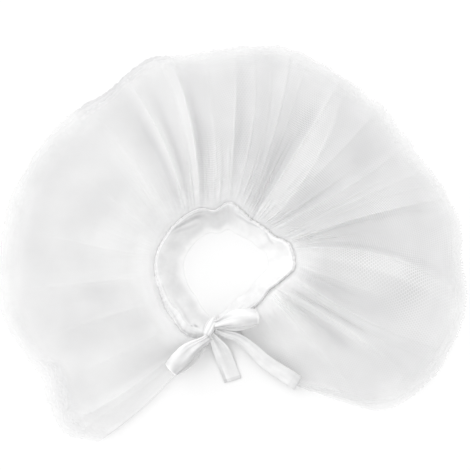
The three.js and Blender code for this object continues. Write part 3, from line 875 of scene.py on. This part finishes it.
def bandLook(around, along, mark):
    # painted shade, darker low on the left, under the rim at the far side and where it turns over
    # the tulle, and painted light on the near wall and at the very foot
    shading = bandShading
    far = bell(around, shading["farMiddle"], shading["farWidth"])
    near = 1 - smoothStep(around, 50, 92)
    foot, top = shading["foot"] - shading["farFoot"] * far, shading["top"] - shading["farTop"] * far
    tone = foot + (top - foot) * smoothStep(along, 0.25, 0.62)
    tone = tone + (shading["footEdge"] - tone) * (1 - smoothStep(along, 0.02, 0.24))
    tone = tone - shading["underRim"] * smoothStep(along, 0.6, 0.68) * (1 - 0.6 * far)
    bright = shading["near"] - shading["nearBow"] * (1 - smoothStep(around, -28, 2))
    tone = tone + (bright - tone) * near
    tone = tone - (shading["over"] + shading["farOver"] * far) * smoothStep(along, 0.76, 0.83)
    # painted light keeps the turned edge light, apart from the gathered stretch left of the knot,
    # whose end gets painted shade
    turnShadeStretch = smoothStep(around, 190, 206)
    tone = tone + (1 - tone) * smoothStep(along, 0.84, 0.92) * (1 - turnShadeStretch)
    tone = tone - shading["turnedEnd"] * smoothStep(along, 0.95, 0.98) * turnShadeStretch
    # painted shade in the small pinched creases
    for pit in bandPits:
        here = bell(around, pit["deg"], pit["wide"]) * bell(along, pit["up"], pit["tall"])
        tone = tone - shading["pit"] * here
    return np.clip(tone + mark, 0, 1)


def bandPoints():
    random = np.random.default_rng(band["seed"])
    deg = np.linspace(bandRows[0]["deg"], bandRows[-1]["deg"], band["columns"])
    along = np.linspace(0, 1, band["rows"])[:, None]
    around = np.broadcast_to(deg[None, :], (band["rows"], band["columns"]))
    points = bandSurface(deg)
    foldLift, mark = bandFoldShapes(around, along)
    lift = (bandPuckers(deg, along, random) + foldLift) * smoothStep(along, 0.03, 0.25)
    normals = gridNormals(points)
    points = points - lift[..., None] * normals * np.sign(normals[10, 10, 2])
    points[..., 2] = np.maximum(points[..., 2], band["clearance"] + 0.5 * bandWall())
    width = np.linspace(0, band["clothHeight"], band["rows"])[:, None] + 0 * deg
    turn = np.radians(deg - deg[0])[None, :] * band["clothRadius"] + 0 * along
    return points, np.stack([turn, width], axis=-1), bandLook(around, along, mark)


def satinPiece(name, points, uv, wall, node, tone):
    half = gridNormals(points) * wall / 2
    piece = wallObject(name, points + half, points - half, uv, {"tone": tone})
    piece.data.materials.append(satin)
    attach(piece, "root")
    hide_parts(node)
    return piece


ringPoints, ringUv, ringTone = bandPoints()
ringWall = bandWall()[..., None]
waistband = satinPiece("waistbandSatin", ringPoints, ringUv, ringWall, "waistband", ringTone)
print("waistband made")

stitches = {
    "Spacing": 3.2,
    "Length": 2.1,
    "Thickness": 0.42,
    "Seed": 4,
    "rows": [(0.86, -94, 254), (0.93, 196, 252)],  # share of the way over, and between which angles
    "lift": 0.3,
    "colour": (0.74, 0.74, 0.745, 1),
}


def threadMaterial():
    material, tree = emptyMaterial("whiteThread")
    thread = addNode(tree, "ShaderNodeBsdfPrincipled", {
        "Base Color": stitches["colour"], "Roughness": 0.6, "Sheen Weight": 0.2,
    })
    addNode(tree, "ShaderNodeOutputMaterial", {"Surface": thread.outputs[0]})
    return material


def stitchTree():
    # lays one rounded stitch at every step along a line, each a little longer or shorter
    tree = bpy.data.node_groups.new("stitchRow", "GeometryNodeTree")
    tree.interface.new_socket(name="Line", in_out="INPUT", socket_type="NodeSocketGeometry")
    for name in ("Spacing", "Length", "Thickness"):
        tree.interface.new_socket(name=name, in_out="INPUT", socket_type="NodeSocketFloat")
    tree.interface.new_socket(name="Seed", in_out="INPUT", socket_type="NodeSocketInt")
    tree.interface.new_socket(name="Thread", in_out="INPUT", socket_type="NodeSocketMaterial")
    tree.interface.new_socket(name="Stitches", in_out="OUTPUT", socket_type="NodeSocketGeometry")
    given = addNode(tree, "NodeGroupInput").outputs
    line = addNode(tree, "GeometryNodeMeshToCurve", {"Mesh": given["Line"]})
    steps = addNode(tree, "GeometryNodeResampleCurve",
                    {"Curve": line.outputs[0], "Length": given["Spacing"]}, mode="LENGTH")
    heading = addNode(tree, "GeometryNodeInputTangent")
    turned = addNode(tree, "FunctionNodeAlignRotationToVector",
                     {"Vector": heading.outputs[0]}, axis="X")
    uneven = addNode(tree, "FunctionNodeRandomValue",
                     {2: 0.8, 3: 1.15, 8: given["Seed"]}, data_type="FLOAT")
    long = mathNode(tree, "MULTIPLY", given["Length"], uneven.outputs[1])
    thick = given["Thickness"]
    size = addNode(tree, "ShaderNodeCombineXYZ", {0: long, 1: thick, 2: thick})
    shape = addNode(tree, "GeometryNodeMeshUVSphere", {"Segments": 8, "Rings": 6, "Radius": 0.5})
    laid = addNode(tree, "GeometryNodeInstanceOnPoints", {
        "Points": steps.outputs[0], "Instance": shape.outputs["Mesh"],
        "Rotation": turned.outputs[0], "Scale": size.outputs[0],
    })
    real = addNode(tree, "GeometryNodeRealizeInstances", {0: laid.outputs[0]})
    smooth = addNode(tree, "GeometryNodeSetShadeSmooth", {0: real.outputs[0]})
    coloured = addNode(tree, "GeometryNodeSetMaterial",
                       {0: smooth.outputs[0], "Material": given["Thread"]})
    addNode(tree, "NodeGroupOutput", {0: coloured.outputs[0]})
    return tree


def bandStitches():
    deg = np.linspace(bandRows[0]["deg"], bandRows[-1]["deg"], band["columns"])
    normals = gridNormals(ringPoints)
    outside = ringPoints + normals * np.sign(normals[30, 100, 2]) * stitches["lift"]
    points, edges = [], []
    for up, fromDeg, toDeg in stitches["rows"]:
        row = outside[round(up * (band["rows"] - 1)), (deg >= fromDeg) & (deg <= toDeg)]
        start = len(points)
        points += row.tolist()
        edges += [(start + i, start + i + 1) for i in range(len(row) - 1)]
    mesh = bpy.data.meshes.new("bandStitches")
    mesh.from_pydata(placed(points).tolist(), edges, [])
    piece = bpy.data.objects.new("bandStitches", mesh)
    bpy.context.collection.objects.link(piece)
    tree = stitchTree()
    grow = piece.modifiers.new("stitches", "NODES")
    grow.node_group = tree
    given = {name: stitches[name] * millimetre for name in ("Spacing", "Length", "Thickness")}
    given.update({"Seed": stitches["Seed"], "Thread": threadMaterial()})
    for socket in tree.interface.items_tree:
        if socket.name in given:
            grow[socket.identifier] = given[socket.name]
    bpy.context.view_layer.update()
    whole = piece.evaluated_get(bpy.context.evaluated_depsgraph_get())
    plain = bpy.data.meshes.new_from_object(whole)
    piece.modifiers.clear()
    piece.data = plain
    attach(piece, "root")
    print("band stitched with", len(plain.polygons), "faces")


bandStitches()

ribbon = {
    "width": 15,
    "pinched": 7,
    "wall": 0.45,
    "edge": 0.1,
    "loopRows": 96,
    "loopColumns": 28,
    "tailRows": 80,
    "tailColumns": 26,
}
# painted light and painted shade on the bow's satin: shade along the pleats, lower loop runs
# lighter, a painted highlight on each loop's lip, tails a shade darker with a lighter side and
# shade at the hemmed end
ribbonShading = {
    "pleat": 0.25,
    "loopBelow": 0.15,
    "loopLip": 0.3,
    "loopSoft": 0.14,
    "tail": 0.62,
    "tailSide": 0.14,
    "tailEnd": 0.3,
    "tailPleat": 1.3,
}
bowLoops = [
    {"name": "bowLoopLeft", "node": "bow_loop_left", "root": (-13.8, -58.2, 20.5),
     "tip": (-46, -86.2, 19), "open": 1.6, "shift": 2.6, "bulge": 1.9, "slim": 0.12,
     "pleat": 0.8, "tone": 0.6, "shaded": 0.5, "seed": 31, "flat": (0.096, 0.015)},
    {"name": "bowLoopRight", "node": "bow_loop_right", "root": (-9, -47.8, 21.5),
     "tip": (27, -40.5, 23.5), "open": 2.4, "shift": 2.2, "bulge": 3.4, "slim": 0.16,
     "pleat": 0.9, "tone": 0.72, "shaded": 0.3, "seed": 32, "flat": (0.084, 0.015)},
]
bowTails = [
    {"name": "bowTailCentre", "node": "bow_tail_centre", "pleat": 0.6, "seed": 33,
     "flat": (0.05, 0.015), "hem": 0, "sliverShade": 0.6,
     "rows": namedRows("x y z width side lean", [
         (-13, -55, 12.4, 5, 20, 0), (-8.5, -62, 10.5, 9, 25, 8), (-3.8, -70, 6, 14, 22, 10),
         (0.2, -80, 2, 15, 19, 4), (3.6, -89, 0.71, 15, 17, 0), (6.8, -97.5, 0.71, 15, 17, 0),
     ])},
    {"name": "bowTailRight", "node": "bow_tail_right", "pleat": 0.6, "seed": 34,
     "flat": (0.09, 0.015), "hem": 0.7, "sliverShade": 0,
     "rows": namedRows("x y z width side lean", [
         (-8.5, -52.3, 14.6, 4.5, 75, 5), (0, -56, 12.5, 7, 68, 20), (9.5, -59, 11.5, 10, 60, 38),
         (21, -67, 11.2, 13, 50, 38), (33, -78.5, 11.2, 15, 47, 36), (46.5, -88, 10.9, 15, 55, 31),
         (63, -98.5, 10, 15, 62, 26),
     ])},
]
knot = {
    "x": -12.4,
    "y": -49.5,
    "z": 18,
    "length": 19,
    "width": 8.4,
    "height": 13,
    "turn": 63,
    "rows": 60,
    "columns": 72,
    "ridges": 6,
    "ridgeDepth": 0.05,
    "fineRidges": 11,
    "fineDepth": 0.03,
    "tone": 0.72,
    "ridgeTone": 0.3,
}


def ribbonPoints(station, columns, random):
    # station holds arrays along the ribbon: x y z width side lean pleat hem bulge
    middle = np.stack([station["x"], station["y"], station["z"]], axis=-1)
    along = unit(np.gradient(middle, axis=0))
    side, lean = np.radians(station["side"]), np.radians(station["lean"])
    left = [np.cos(lean) * np.cos(side), np.cos(lean) * np.sin(side), np.sin(lean)]
    left = np.stack(left, axis=-1)
    up = unit(np.cross(along, left))
    across = np.linspace(-0.5, 0.5, columns)
    pleat = np.zeros((len(middle), columns))
    for count in (1.5, 3, 5):
        phase = random.uniform(0, 2 * np.pi)
        pleat += np.cos(across * 2 * np.pi * count + phase)[None, :] / count
    depth = station["pleat"][:, None]
    shade = ribbonShading["pleat"] * pleat * (depth / depth.max())
    rise = pleat * depth + station["hem"][:, None]
    rise = rise + station["bulge"][:, None] * (1 - 4 * across ** 2)
    rise = rise + ribbon["edge"] * smoothStep(np.abs(across), 0.43, 0.5)  # the woven edges stand up
    wide = across[None, :, None] * station["width"][:, None, None]
    points = middle[:, None] + left[:, None] * wide + up[:, None] * rise[..., None]
    steps = np.linalg.norm(np.diff(middle, axis=0), axis=1)
    length = np.concatenate([[0], np.cumsum(steps)])
    flat = (across * ribbon["width"])[None, :]
    uv = np.stack(np.broadcast_arrays(length[:, None], flat), axis=-1)
    return points, uv, shade


def makeLoop(loop):
    random = np.random.default_rng(loop["seed"])
    root, tip = np.array(loop["root"], float), np.array(loop["tip"], float)
    turn = np.linspace(0, np.pi, ribbon["loopRows"])
    out = np.sin(turn)
    still = 0 * turn
    outward = 1 if tip[0] > root[0] else -1
    side = math.degrees(math.atan2(tip[1] - root[1], tip[0] - root[0])) + 90 * outward
    shift = loop["shift"] * np.cos(turn) * smoothStep(out, 0, 0.45)
    apart = loop["open"] * np.sin(2 * turn) + 1.6 * np.cos(turn)
    spread = ribbon["pinched"] + (ribbon["width"] - ribbon["pinched"]) * smoothStep(out, 0.0, 0.6)
    puff = smoothStep(out, 0.05, 0.5) * (1 - 0.5 * smoothStep(out, 0.85, 1))
    station = {
        "x": root[0] + (tip[0] - root[0]) * out + shift * math.cos(math.radians(side)),
        "y": root[1] + (tip[1] - root[1]) * out + shift * math.sin(math.radians(side)),
        "z": root[2] + (tip[2] - root[2]) * out + apart,
        "width": spread * (1 - loop["slim"] * smoothStep(out, 0.75, 1)),
        "side": side + still,
        "lean": still,
        "pleat": loop["pleat"] * (1 - smoothStep(out, 0.1, 0.9)) + 0.12,
        "hem": still,
        "bulge": outward * loop["bulge"] * puff,
    }
    points, uv, shade = ribbonPoints(station, ribbon["loopColumns"], random)
    across = np.linspace(-0.5, 0.5, ribbon["loopColumns"])[None, :]
    # painted light and shade: the lower run lighter, a painted highlight on the lip at the tip,
    # painted shade over one half of the upper run and along the pleats, and a soft wave
    below = smoothStep(-np.cos(turn), -0.15, 0.25)[:, None]
    lip = smoothStep(out, 0.965, 0.99)[:, None]
    tone = loop["tone"] + ribbonShading["loopBelow"] * below + ribbonShading["loopLip"] * lip
    tone = tone - loop["shaded"] * smoothStep(-across, -0.1, 0.35) * (1 - lip) * (1 - below)
    soft = ribbonShading["loopSoft"] * np.sin(7 * out[:, None] + 9 * across + loop["seed"])
    tone = np.clip(tone + outward * shade + soft, 0, 1)
    return satinPiece(loop["name"], points, uv, ribbon["wall"], loop["node"], tone)


def makeTail(tail):
    random = np.random.default_rng(tail["seed"])
    rows = [{"at": i / (len(tail["rows"]) - 1), **row} for i, row in enumerate(tail["rows"])]
    at = np.linspace(0, 1, ribbon["tailRows"])
    names = ("x", "y", "z", "width", "side", "lean")
    station = {name: curveThrough(rows, "at", name)(at) for name in names}
    station["pleat"] = tail["pleat"] * (1 - smoothStep(at, 0.1, 0.7)) + 0.1
    station["hem"] = tail["hem"] * smoothStep(at, 0.955, 0.965)
    station["bulge"] = 0.5 * smoothStep(at, 0.05, 0.4)
    points, uv, shade = ribbonPoints(station, ribbon["tailColumns"], random)
    across = np.linspace(-0.5, 0.5, ribbon["tailColumns"])[None, :]
    # painted shade at the hemmed end and in a thin sliver along one edge of the centre tail,
    # painted light on one side, and shade along the pleats
    end = smoothStep(at, 0.93, 0.95)[:, None]
    sliverShade = smoothStep(-across, 0.3, 0.36) * smoothStep(at, 0.5, 0.95)[:, None]
    tone = ribbonShading["tail"] + ribbonShading["tailSide"] * smoothStep(-across, -0.2, 0.4)
    tone = tone - ribbonShading["tailEnd"] * end + ribbonShading["tailPleat"] * shade
    tone = np.clip(tone - tail["sliverShade"] * sliverShade, 0, 1)
    return satinPiece(tail["name"], points, uv, ribbon["wall"], tail["node"], tone)


def makeKnot():
    rows, columns = knot["rows"], knot["columns"]
    lat = np.linspace(0, np.pi, rows)[:, None]
    around = np.linspace(0, 2 * np.pi, columns + 1)[None, :]
    ridges = np.cos(knot["ridges"] * around) * np.sin(lat)
    fine = np.cos(knot["fineRidges"] * around + 1) * np.sin(lat)
    full = (1 + knot["ridgeDepth"] * ridges + knot["fineDepth"] * fine) * np.sin(lat) ** 0.8
    across = full * np.cos(around) * knot["width"] / 2
    up = full * np.sin(around) * knot["height"] / 2
    along = np.cos(lat) * knot["length"] / 2 + 0 * around
    turn = math.radians(knot["turn"])
    x = knot["x"] + along * math.cos(turn) + across * math.sin(turn)
    y = knot["y"] + along * math.sin(turn) - across * math.cos(turn)
    points = np.stack([x, y, knot["z"] + up], axis=-1)
    uv = np.stack(np.broadcast_arrays(around * 6, along), axis=-1)
    # painted light on the knot's ridges and painted shade between them
    tone = knot["tone"] + knot["ridgeTone"] * ridges
    piece = sheetObject("bowKnot", points, uv, {"tone": tone})
    mesh = bmesh.new()
    mesh.from_mesh(piece.data)
    bmesh.ops.remove_doubles(mesh, verts=mesh.verts, dist=1e-6)
    bmesh.ops.recalc_face_normals(mesh, faces=mesh.faces)
    mesh.to_mesh(piece.data)
    mesh.free()
    piece.data.materials.append(satin)
    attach(piece, "root")
    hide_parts("bow_knot")
    return piece


loopPieces = [makeLoop(loop) for loop in bowLoops]
tailPieces = [makeTail(tail) for tail in bowTails]
knotPiece = makeKnot()
print("bow made")
